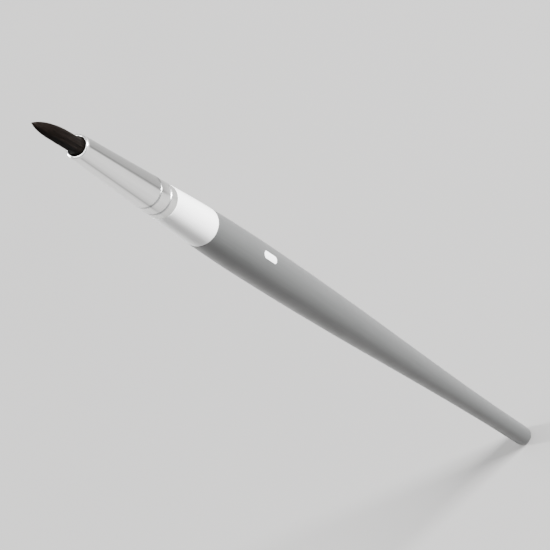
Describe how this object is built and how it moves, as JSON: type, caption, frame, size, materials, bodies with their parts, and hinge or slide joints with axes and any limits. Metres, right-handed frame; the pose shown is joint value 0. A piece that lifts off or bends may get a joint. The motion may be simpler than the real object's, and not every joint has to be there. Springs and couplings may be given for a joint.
{
  "type": "fine detail brush",
  "caption": "Pointed round artist's brush for fine detail: dark springy tuft in a tapered crimped ferrule, on a short turned handle lacquered white and grey.",
  "frame": {"origin": "on the brush's axis at the widest point of the handle, where fingers hold it or where the hole of a brush stand carries it", "axes": "+Z along the brush's axis towards the tuft; the point of the tuft leans slightly towards -X; the printed mark faces -Y and +X"},
  "size_m": [0.0074, 0.0074, 0.19],
  "materials": {
    "wood": "fine-grained, sanded, under lacquer",
    "grey_lacquer": "semi-gloss grey lacquer",
    "white_lacquer": "gloss white lacquer",
    "ink": "printed ink",
    "ferrule_metal": "seamless drawn brass, nickel plated, satin",
    "glue": "dried wood glue",
    "epoxy": "amber cast epoxy",
    "thread": "waxed twisted thread",
    "hair": "fine tapered synthetic hairs, dark brown to black"
  },
  "bodies": {
    "handle": {"handle_core": "wood", "grey_lacquer": "grey_lacquer", "white_lacquer": "white_lacquer", "printed_mark": "ink", "ferrule": "ferrule_metal", "tenon_glue": "glue", "hair_root": "hair", "root_thread": "thread", "epoxy_plug": "epoxy"},
    "tuft": {"tuft": "hair"}
  },
  "joints": [
    {"name": "tuft_flex", "type": "hinge", "parent": "handle", "child": "tuft", "pos_m": [0, 0, 0.05675], "axis": [0, 1, 0], "range_deg": [-25, 25], "stiffness_Nm_per_rad": 0.001}
  ]
}
